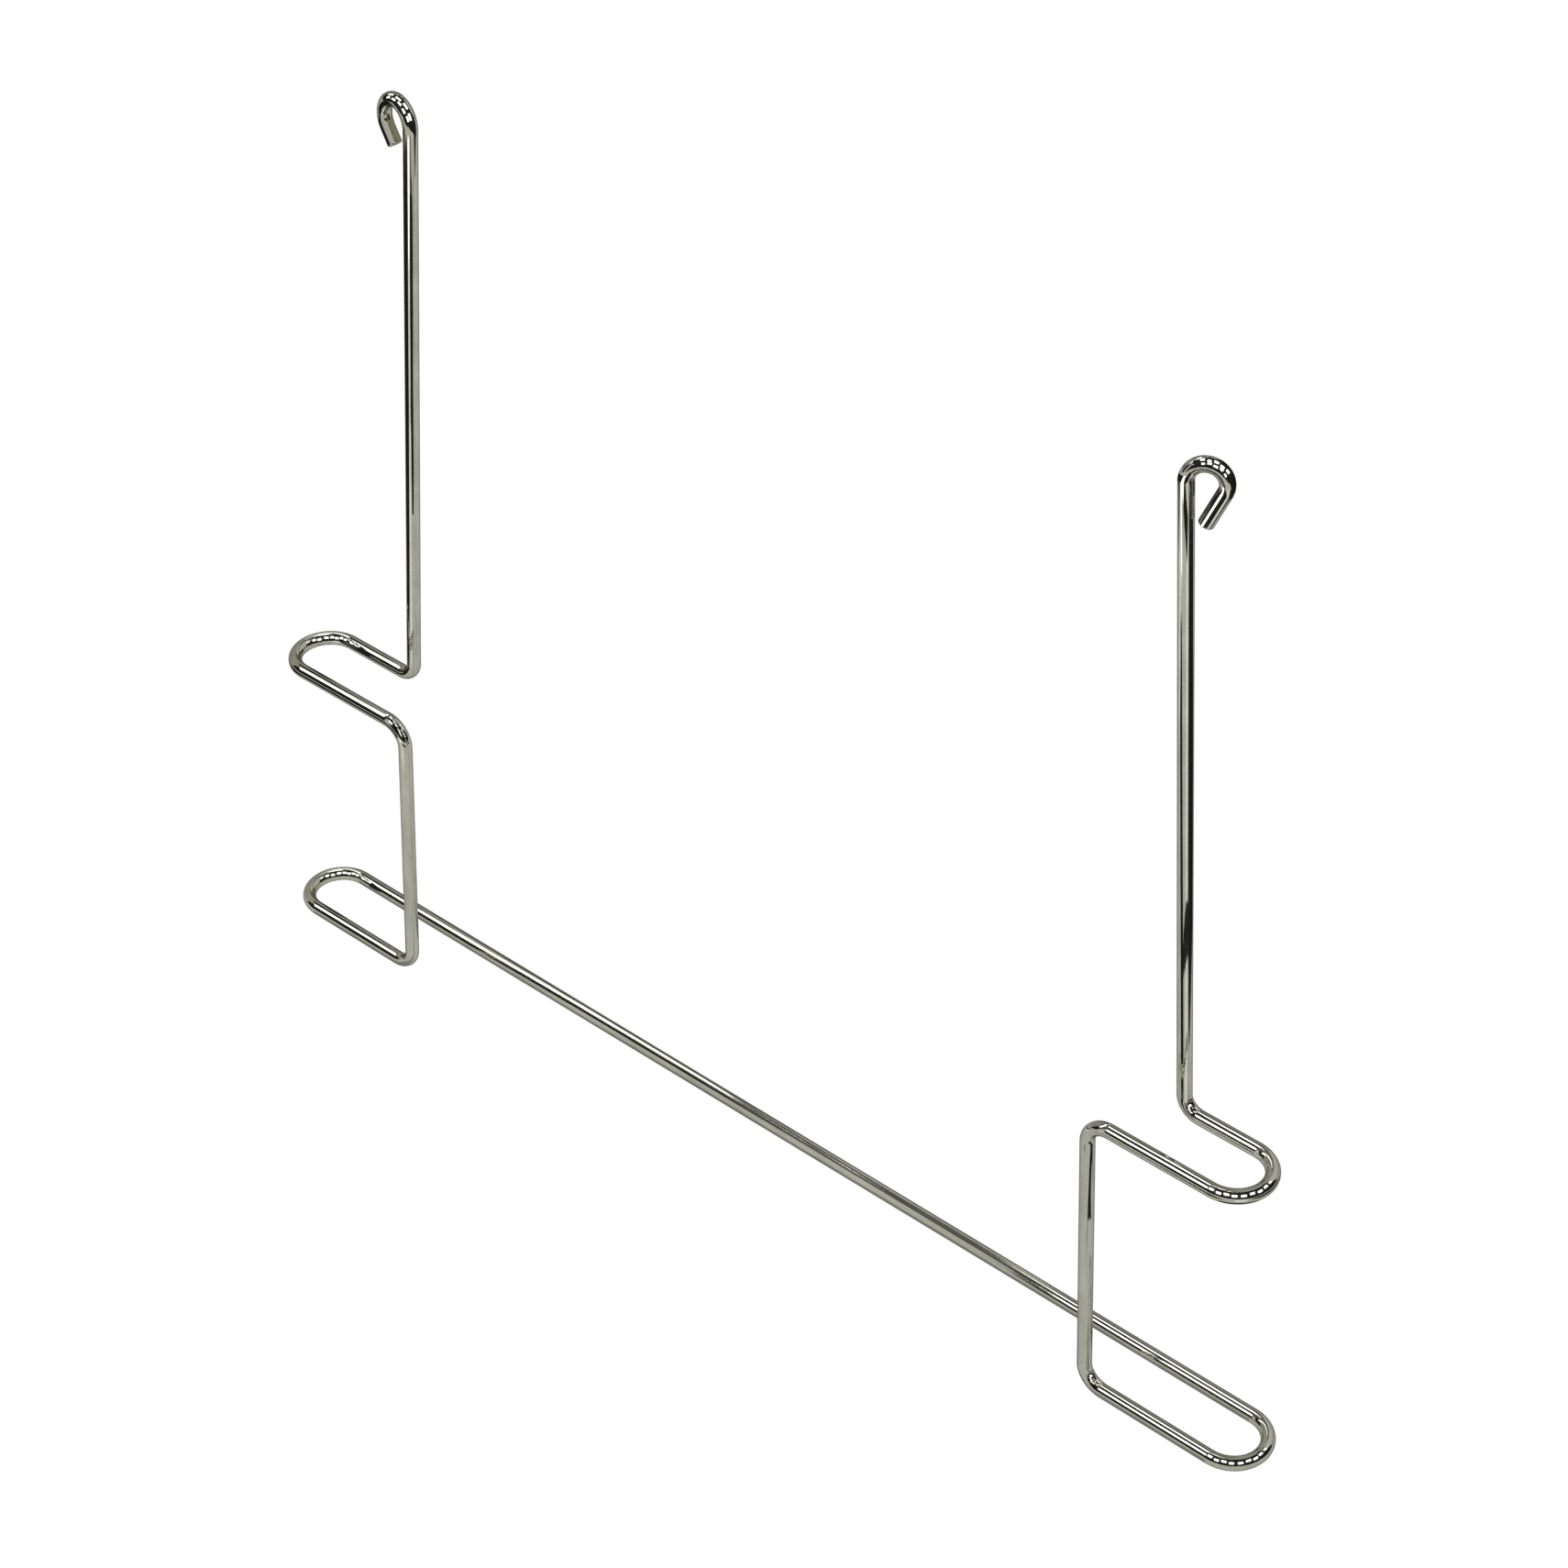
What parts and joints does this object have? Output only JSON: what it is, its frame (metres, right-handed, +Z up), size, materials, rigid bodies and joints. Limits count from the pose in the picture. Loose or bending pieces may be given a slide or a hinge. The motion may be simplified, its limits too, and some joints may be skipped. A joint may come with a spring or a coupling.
{
  "type": "hanging file rack",
  "caption": "Shallow bent-wire file rack: leaning arms with hanging eyes rise from end loops at two levels, joined by a long bottom rail.",
  "frame": {"origin": "centre of the bounding box in X and Y, on the surface the rack stands on", "axes": "+Z up the arms, +X along the rail to the right, +Y from the post plane to the arm and rail plane (the rear)"},
  "size_m": [0.4212, 0.0316, 0.3314],
  "materials": {
    "plated_wire": "bright nickel-chrome plating over drawn steel wire, with a slightly warm grey cast and fine drawing marks"
  },
  "bodies": {
    "root": {"rail": "plated_wire", "left_lower_loop": "plated_wire", "left_post": "plated_wire", "left_upper_loop": "plated_wire", "left_arm": "plated_wire", "left_eye": "plated_wire", "right_lower_loop": "plated_wire", "right_post": "plated_wire", "right_upper_loop": "plated_wire", "right_arm": "plated_wire", "right_eye": "plated_wire"}
  },
  "joints": []
}
